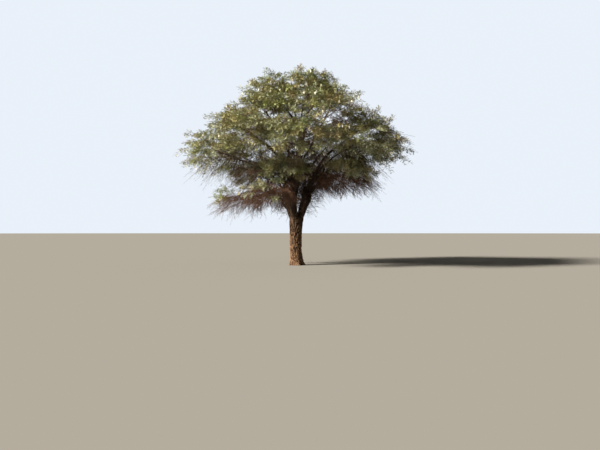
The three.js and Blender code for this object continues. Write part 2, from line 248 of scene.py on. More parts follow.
def bark_material(name, low, high, furrow, grain):
    """Bark: dark in the furrows and paler on the plates, by the mesh's own relief, where the near-black
    furrows are partly the bark's own colour and partly painted shade; warmer low down, and dark high up as
    painted shade of the crown; with grey weathering in blotches, fine upright cracks and rough speckles."""
    material, shader = plain_material(name, low, BARK_ROUGHNESS, BARK_SHINE)
    place = add_node(material, "ShaderNodeTexCoord").outputs["Object"]
    relief = add_node(material, "ShaderNodeAttribute", attribute_name="furrow").outputs["Fac"]
    mapping = add_node(material, "ShaderNodeMapping", [("Vector", place)])
    mapping.inputs["Scale"].default_value = (1, 1, CRACK_STRETCH)
    upright = mapping.outputs["Vector"]
    cracks = noise(material, upright, grain, CRACK_DETAIL, CRACK_ROUGHNESS)
    blotches = noise(material, place, BLOTCH_SCALE, BLOTCH_DETAIL)
    height = add_node(material, "ShaderNodeSeparateXYZ", [("Vector", place)]).outputs["Z"]
    # Painted shade: above these heights the bark turns to its dark high tone, where the crown shades the fork
    # and the boughs.
    ridge = mixed(material, ranged(material, height, *PAINTED_SHADE_HEIGHTS), low, high)
    weathered = add_node(material, "ShaderNodeHueSaturation", [("Color", ridge)])
    weathered.inputs["Saturation"].default_value = WEATHERED_SATURATION
    weathered.inputs["Value"].default_value = WEATHERED_BRIGHTNESS
    grey = mixed(material, blotches, ridge, weathered.outputs["Color"])
    # Painted shade in part: where relief times cracks is low, the bark takes the furrows' near-black colour,
    # darker than the bark's own.
    furrow_and_shade_mask = add_node(material, "ShaderNodeMath", [(0, relief), (1, cracks)], operation="MULTIPLY")
    plate = mixed(material, ranged(material, furrow_and_shade_mask.outputs["Value"], *FURROW_RANGE), furrow, grey)
    speckles = noise(material, upright, SPECKLE_FINER * grain, SPECKLE_DETAIL)
    light = ranged(material, speckles, *SPECKLE_RANGE, *SPECKLE_LIGHT)
    grained = add_node(material, "ShaderNodeHueSaturation", [("Color", plate), ("Value", light)])
    material.node_tree.links.new(grained.outputs["Color"], shader.inputs["Base Color"])
    rough = add_node(material, "ShaderNodeMath", [(0, cracks), (1, speckles)], operation="ADD")
    bump = add_node(material, "ShaderNodeBump", [("Height", rough.outputs["Value"])])
    bump.inputs["Distance"].default_value = GRAIN_BUMP
    material.node_tree.links.new(bump.outputs["Normal"], shader.inputs["Normal"])
    return material


def unit(v):
    """The same directions, each with a length of 1."""
    return v / np.linalg.norm(v, axis=-1, keepdims=True)


# Its dark high colour is painted shade of the crown over the trunk's head, and its near-black furrow colour
# is partly painted shade.
trunk_bark = bark_material("trunk_bark", low=(0.245, 0.128, 0.058), high=(0.062, 0.037, 0.022),
                           furrow=(0.007, 0.0035, 0.002), grain=26)
pad_middles = np.array([np.mean(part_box(f"foliage_shoulder_{k}"), axis=0) for k in FORKING_PADS])
forks = unit(pad_middles[:, :2])
height, turn = np.meshgrid(np.linspace(0, TRUNK_HEAD, BARK_UP), np.arange(BARK_AROUND) / BARK_AROUND * TURNS,
                           indexing="ij")
foot = np.exp(-height / ROOT_FLARE_HEIGHT)
lobes = LOBE_DEPTH * foot * np.cos(ROOT_LOBES * turn + LOBE_TURN)
facing = np.max([np.cos(turn) * x + np.sin(turn) * y for x, y in forks], axis=0)
ridge = FORK_FLUTE + (1 - FORK_FLUTE) * np.exp(FORK_SHARP * (facing - 1))
rise = np.clip((height - FORK_SWELL_FROM) / (TRUNK_HEAD - FORK_SWELL_FROM), 0, 1)
swell = FORK_SWELL * ridge * rise ** 2 * (3 - 2 * rise)
head = np.sqrt(1 - (np.maximum(0, height - HEAD_FROM) / HEAD_ROUND) ** 2)
head = head * (1 - CROTCH * (1 - np.exp(FORK_SHARP * (facing - 1))) * rise ** 3)
lumps = TRUNK_LUMPS * waver(turn, height, 11, finest=3)
plates = bark_plates(turn, height, TRUNK_PLATES, PLATE_HEIGHT, 21)
plates = plates * (1 - SCALE_SHARE * (1 - bark_plates(turn, height, SCALES, SCALE_HEIGHT, 25)))
relief = BARK_DEPTH * (plates - 1 + BARK_PROUD) * (1 - HEAD_SMOOTH * rise ** 4)
radius = (TRUNK_RADIUS * (1 + ROOT_FLARE * foot + lobes + swell + lumps) + relief) * head
bow = -TRUNK_BOW * np.sin(np.pi * height / TRUNK_HEAD)
rings = np.stack([bow + radius * np.cos(turn), radius * np.sin(turn), height], axis=-1)
trunk = skin("trunk_with_bark", rings, plates, trunk_bark)
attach(trunk, "root")
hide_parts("trunk")


# The boughs: tapering limbs of the same hard wood with finer bark, darker than the trunk's, most of all in
# the dark high tone that is painted shade of the crown. Each grows out of the trunk's head or a larger bough
# through a swollen collar, runs a crooked way and ends where its pad begins.
UP = np.array([0.0, 0.0, 1.0])
FLATNESS = 0.6  # a pad's height as a share of its width
CROWN_SHIFT = 0.1  # how far right of the trunk's foot the crown's middle stands
HEIGHT_SWING = 3  # heights vary by this many times `vary`, in radii
STEM_INSET = 0.12  # how far past its pad's middle a stem ends, in the pad's radii
# The pads of each storey:
# count, azimuth: how many, and where the first one stands, in degrees from +X
# reach, height, radius: how far out and how high their middles are, and how large they are
# vary, hang: the share by which these vary, and how much lower the left side is than the middle
# inward, down: the way from a pad's middle to where its bough enters it
# at: where on its parent a bough starts, as a share of the parent's length
# droop: how far below its middle a pad still has branchlets, as a share of its radius
STOREYS = {
    "shoulder": dict(count=6, azimuth=178, reach=2.75, height=6.75, radius=1.95, vary=0.05, hang=0,
                     inward=0.55, down=0.83, at=0.5, droop=0.5),
    "top": dict(count=4, azimuth=205, reach=1.2, height=8.2, radius=1.65, vary=0.05, hang=-0.06,
                inward=0.4, down=0.9, at=0.55, droop=0.5),
    "eaves": dict(count=8, azimuth=184, reach=3.8, height=5.75, radius=2.1, vary=0.05, hang=0,
                  inward=0.8, down=0.6, at=0.46, droop=0.75),
    "skirt": dict(count=6, azimuth=186, reach=2.75, height=3.6, radius=1.65, vary=0.06, hang=0.65,
                  inward=0.9, down=-0.35, at=0.2, droop=0.7),
    "inner": dict(count=4, azimuth=252, reach=2.3, height=4.65, radius=1.55, vary=0.05, hang=0,
                  inward=0.7, down=0.5, at=0.34, droop=0.8),
    "bare": dict(count=1, azimuth=203, reach=3.1, height=4.2, radius=1.3, vary=0.05, hang=0,
                 inward=0.8, down=-0.3, at=0.3, droop=0.9),
}
FORK_AT = 0.75  # where the main boughs start, as a share of the trunk's height
LOW_PAD = ("skirt", 4)  # its bough arches out of the trunk itself
LOW_BOUGH_AT = 0.68
TOP_APART = 0.1
SIDE_SCATTER = 0.11
MAIN_ROOT = 0.132  # radii
MAIN_TIP = 0.044
SIDE_TIP = 0.033
SIDE_SHARE = 0.6  # a side bough's root as a share of its parent's radius there
LEAST_SIDE_ROOT = 0.04
BOUGH_TAPER = 0.85
COLLAR = 0.3
COLLAR_LENGTH = 0.07
LEADER_RISE = 5  # how steeply boughs leave: metres up for each metre out
MAIN_RISE = 1.5
LOW_RISE = 1.3
SIDE_RISE = 0.45
REACH_OUT = 0.4  # the share of its span for which a bough holds its first and last direction
CROOK = 0.03
CROOK_WAVES = 1.8
RING_APART = 0.03
NEARBY = 1e-3  # the step along a bough that gives its direction
PLATE_WIDTH = 0.05  # of a bough's bark plates
PLATES_FITTED_AT = 0.3  # the place along a bough where their width is right
LEAST_PLATES = 5
POINTS_PER_PLATE = 5
BOUGH_AROUND = (16, 64)  # the fewest and most points round a bough
BOUGH_PLATE_HEIGHT = 0.22
BOUGH_RELIEF = 0.13  # depth of a bough's furrows, as a share of its radius
MEAN_PLATE = 0.6  # the plates' mean height
BOUGH_LUMPS = 0.07
LUMPS_PACE = 2.2


def squashed(points):
    """Where every pad is a ball: heights are divided by the pads' flatness."""
    return points / np.array([1, 1, FLATNESS])


def unsquashed(points):
    """The way back."""
    return points * np.array([1, 1, FLATNESS])


def pads_of(storey, s):
    """The pads of one storey, set round the crown's middle, each with direction, size, ball, stem and key."""
    plan = STOREYS[storey]
    pads = []
    for k in range(plan["count"]):
        swing = {key: plan["vary"] * (2 * dice(s, k, key) - 1) for key in (1, 2, 3, 4)}
        turn = np.radians(plan["azimuth"] + 360 / plan["count"] * (k + 2 * swing[1]))
        out = np.array([np.cos(turn), np.sin(turn), 0])
        lift = plan["hang"] * out[0] + swing[3] * HEIGHT_SWING * plan["radius"]
        middle = np.array([CROWN_SHIFT, 0, plan["height"] + lift]) + out * plan["reach"] * (1 + swing[2])
        size = plan["radius"] * (1 + swing[4])
        way = unit(-plan["inward"] * out - plan["down"] * UP)
        entry = unsquashed(squashed(middle) + way * size)
        pads.append(dict(storey=storey, number=k + 1, out=out, size=size, entry=entry, ball=squashed(middle),
                         stem_tip=middle + out * size * STEM_INSET, key=100 * s + k))
    return pads


def trunk_line(t):
    """The trunk's middle line: straight up, less a bow of the sine of half a turn times t."""
    t = np.asarray(t)
    return np.stack([-TRUNK_BOW * np.sin(np.pi * t), 0 * t, TRUNK_HEAD * t], axis=-1)


def bough_line(start, leave, end, arrive, key):
    """A bough's middle line: a cubic Bezier curve that holds its first and last direction for a share of its
    span, plus a sideways crook of sin^2 of half a turn times a faster sine."""
    span = np.linalg.norm(end - start)
    first = start + leave * span * REACH_OUT
    last = end - arrive * span * REACH_OUT
    side = unit(np.cross(end - start, UP))
    phase = dice(key, 71) * TURNS

    def line(t):
        t = np.asarray(t)[..., None]
        smooth = ((1 - t) ** 3 * start + 3 * (1 - t) ** 2 * t * first + 3 * (1 - t) * t ** 2 * last
                  + t ** 3 * end)
        wave = np.sin(np.pi * t) ** 2 * np.sin(CROOK_WAVES * TURNS * t + phase)
        return smooth + side * span * CROOK * wave

    return line, side, span


def grow_bough(pad, parent_line, at, root, tip, rise):
    """A bough's line and radius from its parent to its pad's edge: the radius falls by a power of t from root
    to tip and swells in a collar that fades exponentially."""
    arrive = unit(pad["stem_tip"] - pad["entry"])
    leave = unit(pad["out"] + UP * rise)
    line, side, span = bough_line(parent_line(at), leave, pad["entry"], arrive, pad["key"])

    def radius_at(t):
        return (root + (tip - root) * t ** BOUGH_TAPER) * (1 + COLLAR * np.exp(-t / COLLAR_LENGTH))

    pad["bough"] = dict(line=line, radius_at=radius_at, side=side, span=span)
    pad["stem_radius"] = tip


def dress_bough(pad):
    """The bough's skin: rings square to its line, whose radius wavers and carries bark plates. A thinner
    bough has fewer of them round it, so that they are about as wide on each."""
    line, radius_at, side, span = (pad["bough"][part] for part in ("line", "radius_at", "side", "span"))
    plates_round = max(LEAST_PLATES, round(TURNS * radius_at(PLATES_FITTED_AT) / PLATE_WIDTH))
    around = int(np.clip(plates_round * POINTS_PER_PLATE, *BOUGH_AROUND))
    t = np.linspace(0, 1, int(span / RING_APART))
    along = unit(line(np.minimum(t + NEARBY, 1)) - line(np.maximum(t - NEARBY, 0)))
    across = unit(side - along * (along @ side)[:, None])
    third = np.cross(across, along)
    down, turn = np.meshgrid(t * span, np.arange(around) / around * TURNS, indexing="ij")
    plates = bark_plates(turn, down, plates_round, BOUGH_PLATE_HEIGHT, 1000 + 10 * pad["key"])
    lumps = BOUGH_LUMPS * waver(turn, LUMPS_PACE * down, 1005 + 10 * pad["key"], finest=3)
    radius = radius_at(t)[:, None] * (1 + lumps + BOUGH_RELIEF * (plates - MEAN_PLATE))
    rings = line(t)[:, None] + radius[..., None] * (
        np.cos(turn)[..., None] * across[:, None] - np.sin(turn)[..., None] * third[:, None])
    node = f"bough_{pad['storey']}_{pad['number']}"
    piece = skin(f"{node}_with_bark", rings, plates, bough_bark)
    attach(piece, "root")
    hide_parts(node)


# Its dark high colour, which covers most of the boughs, is painted shade of the crown, and its near-black
# furrow colour is partly painted shade.
bough_bark = bark_material("bough_bark", low=(0.22, 0.115, 0.053), high=(0.062, 0.037, 0.022),
                           furrow=(0.008, 0.0045, 0.0025), grain=34)
pads = [pad for s, storey in enumerate(STOREYS) for pad in pads_of(storey, s)]
mains = [pad for pad in pads if pad["storey"] == "shoulder" and pad["number"] in FORKING_PADS]
leader = next(pad for pad in pads if pad["storey"] == "top")
low = next(pad for pad in pads if (pad["storey"], pad["number"]) == LOW_PAD)
grow_bough(leader, trunk_line, FORK_AT, MAIN_ROOT, MAIN_TIP, LEADER_RISE)
for pad in mains:
    grow_bough(pad, trunk_line, FORK_AT, MAIN_ROOT, MAIN_TIP, MAIN_RISE)
grow_bough(low, trunk_line, LOW_BOUGH_AT, MAIN_ROOT * SIDE_SHARE, SIDE_TIP, LOW_RISE)
for pad in pads:
    if "bough" in pad:
        continue
    nearest = max(mains, key=lambda main: main["out"] @ pad["out"])
    top = pad["storey"] == "top"
    parent = (leader if top else nearest)["bough"]
    apart = TOP_APART * (pad["number"] - 1) if top else 0
    at = STOREYS[pad["storey"]]["at"] + apart + SIDE_SCATTER * (dice(pad["key"], 5) - 0.5)
    root = max(LEAST_SIDE_ROOT, parent["radius_at"](at) * SIDE_SHARE)
    grow_bough(pad, parent["line"], at, root, SIDE_TIP, SIDE_RISE)
for pad in pads:
    dress_bough(pad)


# The twigs: a stem carries on from the bough into its pad, branchlets fork from it, twigs from these and
# shoots from the twigs, thinner each time, under thin bark. They keep to their pad's own space but may sag
# out under it; dry ones are bare and reddish, with fine side twigs, and in the shaded storeys coloured dark
# as painted shade.
GOLDEN_ANGLE = np.pi * (3 - np.sqrt(5))
# The growth in each storey:
# counts: branchlets in a pad, twigs on each, shoots on each twig
# reach: how far from a pad's middle branchlets end, and how long twigs and shoots are, in its radii
# dry: the share of twigs that is dry wherever they grow
# bare_below: where all are dry, from -1 on the pad's side next to the fork to 1 on its far side
# sag: how far green and dry shoots sag, as shares of their length, the green ones less the higher they grow
# hangs: how far under their pad green and dry shoots may end, in metres
# fine: how many fine twigs a dry shoot has
GROWTH = {
    "shoulder": dict(counts=(18, 7, 5), reach=(0.56, 0.3, 0.14), dry=0.12, bare_below=-0.02,
                     sag=(0.0, 0.8), hangs=(0.0, 0.5), fine=4),
    "top": dict(counts=(16, 6, 5), reach=(0.56, 0.3, 0.15), dry=0.06, bare_below=-0.5,
                sag=(0.5, 0.8), hangs=(0.4, 0.5), fine=3),
    "eaves": dict(counts=(19, 7, 5), reach=(0.56, 0.3, 0.14), dry=0.1, bare_below=-0.34,
                  sag=(1.1, 2.2), hangs=(0.9, 1.3), fine=5),
    "skirt": dict(counts=(15, 8, 5), reach=(0.56, 0.32, 0.17), dry=0.55, bare_below=0.38,
                  sag=(0.4, 0.9), hangs=(0.1, 0.5), fine=7),
    "inner": dict(counts=(14, 7, 5), reach=(0.56, 0.32, 0.16), dry=0.14, bare_below=-0.25,
                  sag=(0.5, 0.8), hangs=(0.5, 0.5), fine=8),
    "bare": dict(counts=(12, 5, 4), reach=(0.62, 0.34, 0.24), dry=1.0, bare_below=1.0,
                 sag=(0.0, 1.7), hangs=(0.0, 0.5), fine=4),
}
STEM_SHARE = 0.7  # the share of a stem, from its tip, that carries branchlets
FIRST_DOWN = 0.2  # how far the first branchlet is from the pad's top, in steps between branchlets
TWIGS_ALONG = (0.3, 0.68)  # where twigs start on a branchlet, and how far on they end
SHOOTS_ALONG = (0.2, 0.78)
LEANS = (58, 52)  # degrees that twigs and shoots lean away from what they grow on
END_LEAN = 0.2  # radians that the last one leans
SPRAY_FLAT = 0.5  # the share of their rise that twigs and shoots keep
TWIG_BEND = 0.1  # how far a twig's middle strays, as a share of its length
TWIGS_VARY = 0.25  # the share by which lengths vary
SHOOTS_VARY = 0.3
DRY_SCATTER = 0.3
SAG_BELOW = 0.4  # green twigs sag below this height in their pad, in its radii
GREEN_TWIG_SAG = 0.5  # as a share of its shoots'
DRY_TWIG_SAG = 0.4  # a dry twig's sag, as a share of its length
DRY_TRAIL = 0.75  # the share of their sag by which dry ones swing out
TWIG_HANG = 0.4  # how far twigs may end under their pad, as a share of what shoots may
EDGE = 0.05  # twigs end this far inside their pad's edge, to leave room for leaves
PAD_GAP = 0.03
STEM_TIP = 0.016
TWIG_RADII = ((0.015, 0.007), (0.006, 0.004), (0.0038, 0.0022))  # root and tip at each forking
STEM_SIDES = (8, 4)  # sides and steps
TWIG_SIDES = ((5, 4), (4, 3), (3, 1))
NUDGE = 1e-6  # keeps the cross product of an upright twig from vanishing
BLOTCH_STOPS = (0.35, 0.65)  # the noise from the dark tone to the pale one
FINE_LENGTH = 0.155
FINE_VARY = 0.5
FINE_RADIUS = 0.0034
FINE_ALONG = (0.1, 0.9)
FINE_LEAN = 42
FINE_DROOP = (0.2, 0.5)  # the least, and how much more some droop
SHADE_DARKENED_STOREYS = ("eaves", "inner", "bare")  # whose dry twigs are coloured dark as painted shade of the crown; the others' are reddish
balls = np.array([pad["ball"] for pad in pads])
sizes = np.array([pad["size"] for pad in pads])


def varied(share, *keys):
    """A random number from 1 less a share to 1 plus the share."""
    return 1 - share + 2 * share * dice(*keys)


def in_space(points, own):
    """True where a point lies in its own pad's ball, short of its edge, and nearer to it, by power distance,
    than to any other pad."""
    own = np.broadcast_to(own.reshape(own.shape + (1,) * (points.ndim - 1 - own.ndim)), points.shape[:-1])
    power = ((squashed(points)[..., None, :] - balls) ** 2).sum(-1) - sizes ** 2
    mine = np.take_along_axis(power, own[..., None], axis=-1)[..., 0]
    np.put_along_axis(power, own[..., None], np.inf, axis=-1)
    return (mine + 2 * EDGE * sizes[own] < 0) & (mine + 2 * PAD_GAP * sizes[own] < power.min(-1))


def in_space_or_under(points, own, hangs):
    """The same, or where the point `hangs` metres higher does."""
    return in_space(points, own) | in_space(points + UP * hangs[..., None], own)


def spread_over(i, count, turn, droop):
    """Directions spread evenly over a ball by the golden angle, from its top to `droop` below its middle."""
    z = 1 - (1 + droop) * (i + FIRST_DOWN) / count
    flat = np.sqrt(1 - z * z)
    angle = GOLDEN_ANGLE * i + turn
    return np.stack([flat * np.cos(angle), flat * np.sin(angle), z + 0 * turn], -1)


def sideways(way, j, lean, turn, flat=1):
    """The direction of side shoot j round a twig that points along `way`: it leans away and goes round by the
    golden angle, and its rise is multiplied by `flat`."""
    across = unit(np.cross(way, UP))
    angle = (GOLDEN_ANGLE * j + turn)[..., None]
    around = across * np.cos(angle) + np.cross(way, across) * np.sin(angle)
    return unit((way * np.cos(lean)[..., None] + around * np.sin(lean)[..., None]) * np.array([1, 1, flat]))


def on_bend(foot, middle, tip, s):
    """A point on the quadratic Bezier curve that starts at a twig's foot and ends at its tip."""
    s = s[..., None]
    return (1 - s) ** 2 * foot + 2 * (1 - s) * s * middle + s ** 2 * tip


def bent(foot, tip, *keys):
    """The control point of a twig's bend: its middle, moved at random by a share of its length."""
    stray = np.stack([2 * dice(*keys, channel) - 1 for channel in (31, 32, 33)], -1)
    return (foot + tip) / 2 + stray * TWIG_BEND * np.linalg.norm(tip - foot, axis=-1, keepdims=True)


def grow_pads(storey):
    """All twigs in a storey's pads, as arrays: for each forking the feet, middles and tips that are kept,
    whether they are dry, and for shoots the key of the twig that each grows on."""
    plan = GROWTH[storey]
    own = np.array([n for n, pad in enumerate(pads) if pad["storey"] == storey])
    many, twigs, shoots = plan["counts"]
    key, entry, stem_tip, out = (
        np.array([pads[n][part] for n in own])[:, None] for part in ("key", "entry", "stem_tip", "out"))
    size = sizes[own][:, None, None]
    i = np.arange(many)[None]
    way = spread_over(i, many, dice(key, 9) * TURNS, STOREYS[storey]["droop"])
    foot = entry + (stem_tip - entry) * (1 - STEM_SHARE * (i + 0.5) / many)[..., None]
    tip = unsquashed(balls[own][:, None] + way * size * plan["reach"][0])
    levels = []
    keep = in_space(tip, own)
    middle = bent(foot, tip, key, i)
    levels.append((foot[keep], middle[keep], tip[keep]))

    j = np.arange(twigs)[None, None]
    key, i = key[..., None], i[..., None]
    along = np.broadcast_to(TWIGS_ALONG[0] + TWIGS_ALONG[1] * (j + 1) / twigs, (*keep.shape, twigs))
    twig_foot = on_bend(foot[:, :, None], middle[:, :, None], tip[:, :, None], along)
    lean = np.where(j == twigs - 1, END_LEAN, np.radians(LEANS[0])) + 0 * along
    turn = dice(key, i, 3) * TURNS + 0 * along
    aim = sideways(way[:, :, None] + 0 * twig_foot, j, lean, turn, SPRAY_FLAT)
    long = size[..., None] * plan["reach"][1] * varied(TWIGS_VARY, key, i, j, 6)[..., None]
    twig_tip = unsquashed(squashed(twig_foot) + aim * long)
    ball = balls[own][:, None, None]
    far_side = ((squashed(twig_tip) - ball) * unit(ball - squashed(trunk_line(1)))).sum(-1) / size
    bare = far_side + DRY_SCATTER * (dice(key, i, j, 10) - 0.5) < plan["bare_below"]
    dry = (dice(key, i, j, 8) < plan["dry"]) | bare
    fall = out[:, None] * (DRY_TRAIL * dry)[..., None] - UP
    low = np.clip(SAG_BELOW - (squashed(twig_foot) - ball)[..., 2] / size, 0, 1)
    sag = np.where(dry, plan["sag"][1], plan["sag"][0] * low)[..., None]
    twig_tip = twig_tip + np.where(dry[..., None], DRY_TWIG_SAG, GREEN_TWIG_SAG * sag) * long * fall
    hangs = np.where(dry, plan["hangs"][1], plan["hangs"][0] * low)
    keep_twig = keep[..., None] & in_space_or_under(twig_tip, own, TWIG_HANG * hangs)
    twig_middle = bent(twig_foot, twig_tip, key, i, j)
    levels.append((twig_foot[keep_twig], twig_middle[keep_twig], twig_tip[keep_twig], dry[keep_twig]))

    k = np.arange(shoots)[None, None, None]
    key, i, j = key[..., None], i[..., None], j[..., None]
    along = np.broadcast_to(SHOOTS_ALONG[0] + SHOOTS_ALONG[1] * (k + 1) / shoots, (*keep_twig.shape, shoots))
    shoot_foot = on_bend(twig_foot[..., None, :], twig_middle[..., None, :], twig_tip[..., None, :], along)
    lean = np.where(k == shoots - 1, END_LEAN, np.radians(LEANS[1])) + 0 * along
    turn = dice(key, i, j, 4) * TURNS + 0 * along
    aim = sideways(aim[..., None, :] + 0 * shoot_foot, k, lean, turn, SPRAY_FLAT)
    long = size[..., None, None] * plan["reach"][2] * varied(SHOOTS_VARY, key, i, j, k, 7)[..., None]
    shoot_tip = unsquashed(squashed(shoot_foot) + aim * long) + sag[..., None] * long * fall[..., None, :]
    dry = np.broadcast_to(dry[..., None], shoot_tip.shape[:-1])
    keep_shoot = keep_twig[..., None] & in_space_or_under(shoot_tip, own, hangs[..., None])
    shoot_middle = bent(shoot_foot, shoot_tip, key, i, j, k)
    spray_key = (key * 100 + i) * 100 + j + 0 * k
    levels.append((shoot_foot[keep_shoot], shoot_middle[keep_shoot], shoot_tip[keep_shoot], dry[keep_shoot],
                   spray_key[keep_shoot]))
    return levels


def twig_tubes(foot, middle, tip, radii, sides, steps):
    """Tapering tubes along bent twigs, all at once: each ring's points are the curve's point plus the radius
    times the sides' cosine and sine, and a last point closes the tip."""
    s = np.linspace(0, 1, steps + 1)
    line = on_bend(foot[:, None], middle[:, None], tip[:, None], np.broadcast_to(s, (len(foot), steps + 1)))
    along = unit(tip - foot)
    across = unit(np.cross(along, UP) + NUDGE)[:, None, None]
    third = np.cross(along[:, None, None], across)
    radius = (radii[0] + (radii[1] - radii[0]) * s)[None, :, None, None]
    turn = (np.arange(sides) / sides * TURNS)[None, None, :, None]
    rings = line[:, :, None] + radius * (across * np.cos(turn) + third * np.sin(turn))
    ends = tip + along * radii[1]
    points = np.concatenate([rings.reshape(len(foot), -1, 3), ends[:, None]], axis=1)
    place, beside, quads = tube_net(steps + 1, sides)
    caps = np.stack([place[-1], beside[-1], np.full(sides, (steps + 1) * sides)], -1)
    first = (np.arange(len(foot)) * points.shape[1])[:, None, None]
    return points.reshape(-1, 3), (quads[None] + first).reshape(-1, 4), (caps[None] + first).reshape(-1, 3)


def fine_twigs(foot, middle, tip, key, count):
    """Fine side twigs along shoots, all at once: each is a slim three-sided spike that leans away from its
    shoot, goes round it by the golden angle and droops."""
    m = np.arange(count)[None]
    key = key[:, None]
    which = np.arange(len(foot))[:, None]
    along = FINE_ALONG[0] + FINE_ALONG[1] * (m + dice(key, which, m, 60)) / count
    start = on_bend(foot[:, None], middle[:, None], tip[:, None], along)
    way = np.broadcast_to(unit(tip - foot)[:, None], start.shape)
    aim = sideways(way, m, np.radians(FINE_LEAN) + 0 * along, dice(key, which, 61) * TURNS + 0 * along)
    aim = unit(aim - UP * (FINE_DROOP[0] + FINE_DROOP[1] * dice(key, which, m, 62))[..., None])
    end = start + aim * FINE_LENGTH * varied(FINE_VARY, key, which, m, 63)[..., None]
    across = unit(np.cross(aim, UP) + NUDGE)
    third = np.cross(aim, across)
    turn = (np.arange(3) / 3 * TURNS)[:, None]
    ring = across[..., None, :] * np.cos(turn) + third[..., None, :] * np.sin(turn)
    base = start[..., None, :] + FINE_RADIUS * ring
    points = np.concatenate([base, end[..., None, :]], axis=-2).reshape(-1, 4, 3)
    faces = np.array([(0, 1, 3), (1, 2, 3), (2, 0, 3)])
    first = (np.arange(len(points)) * 4)[:, None, None]
    return points.reshape(-1, 3), np.zeros((0, 4), dtype=int), (faces[None] + first).reshape(-1, 3)


def joined(batches):
    """Several batches of points, quads and triangles as one."""
    points, quads, triangles, first = [], [], [], 0
    for batch_points, batch_quads, batch_triangles in batches:
        points.append(batch_points)
        quads.append(batch_quads + first)
        triangles.append(batch_triangles + first)
        first += len(batch_points)
    return np.concatenate(points), [np.concatenate(quads), np.concatenate(triangles)]


def twig_material(name, colour, dark):
    """Thin bark on twigs: two tones in soft blotches, by noise."""
    material, shader = plain_material(name, colour, roughness=0.85)
    place = add_node(material, "ShaderNodeTexCoord").outputs["Object"]
    blotches = noise(material, place, scale=5.5, detail=4)
    ramp = add_node(material, "ShaderNodeValToRGB", [("Fac", blotches)])
    for stop, position, tone in zip(ramp.color_ramp.elements, BLOTCH_STOPS, (dark, colour)):
        stop.position = position
        stop.color = (*tone, 1)
    material.node_tree.links.new(ramp.outputs["Color"], shader.inputs["Base Color"])
    return material


green_twig = twig_material("green_twig_bark", colour=(0.145, 0.085, 0.056), dark=(0.058, 0.031, 0.021))
dry_twig = twig_material("dry_twig_bark", colour=(0.15, 0.077, 0.046), dark=(0.05, 0.026, 0.017))
# Painted shade: this near-black bark stands for the crown's shade on dry twigs, on the boughs' dead twigs and
# in the shaded storeys.
painted_shade_twig = twig_material("painted_shade_twig_bark", colour=(0.07, 0.042, 0.028), dark=(0.025, 0.015, 0.01))
growth = {storey: grow_pads(storey) for storey in STOREYS}
nodes = {}
for storey, (branchlets, twigs, shoots) in growth.items():
    stems = [pad for pad in pads if pad["storey"] == storey]
    feet = np.array([pad["entry"] for pad in stems])
    tips = np.array([pad["stem_tip"] for pad in stems])
    stem_radii = (stems[-1]["stem_radius"], STEM_TIP)
    living = [twig_tubes(feet, (feet + tips) / 2, tips, stem_radii, *STEM_SIDES),
              twig_tubes(*branchlets, TWIG_RADII[0], *TWIG_SIDES[0])]
    dead = []
    for level, (foot, middle, tip, dry, *_) in enumerate((twigs, shoots), start=1):
        for batches, mask in ((living, ~dry), (dead, dry)):
            if mask.any():
                bends = (part[mask] for part in (foot, middle, tip))
                batches.append(twig_tubes(*bends, TWIG_RADII[level], *TWIG_SIDES[level]))
    foot, middle, tip, dry, key = shoots
    dead.append(fine_twigs(foot[dry], middle[dry], tip[dry], key[dry], GROWTH[storey]["fine"]))
    leafy = storey != "bare"
    nodes[storey] = [f"{'foliage' if leafy else 'twigs'}_{storey}_{pad['number']}" for pad in stems]
    # Painted shade: the dry twigs of the shaded storeys take the near-black bark, the others their own
    # reddish one.
    dry_or_painted_shade_material = painted_shade_twig if storey in SHADE_DARKENED_STOREYS else dry_twig
    for name, batches, material in (("living", living, green_twig), ("dry", dead, dry_or_painted_shade_material)):
        piece = new_mesh(f"{name}_twigs_{storey}", *joined(batches), material)
        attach(piece, "root")
        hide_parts(*nodes[storey])


# The dead twigs on the boughs: short side twigs that died in the crown's shade, bare and brittle, their bark
# coloured dark as painted shade of the crown. They stand all round a bough on its own wood, droop a little
# and fork into shoots with fine twigs.
SNAG_APART = 0.072
SNAGS_SHARE = 0.9  # the share of a bough's length that gives their number
SNAGS_FROM = 0.2  # where they start, in bough lengths, and where on the leader
SNAGS_FROM_ON_LEADER = 0.07
SNAGS_TO = 0.95
SNAG_CROWDING = 1.4  # the power that crowds them towards the bough's foot
SNAG_LENGTH = 0.6
SNAG_VARY = 0.5
SNAG_LEAN = 60
SNAG_DROOP = 0.5
SNAG_RADII = (0.009, 0.004)
SNAG_SHOOTS = 4
SNAG_SHOOTS_ALONG = (0.3, 0.7)
SNAG_SHOOT_LENGTH = 0.32
SNAG_SHOOT_VARY = 0.4
SNAG_SHOOT_DROOP = 0.6
SNAG_FINE = 5
AHEAD = 0.01  # the step along a bough that gives its direction at a snag


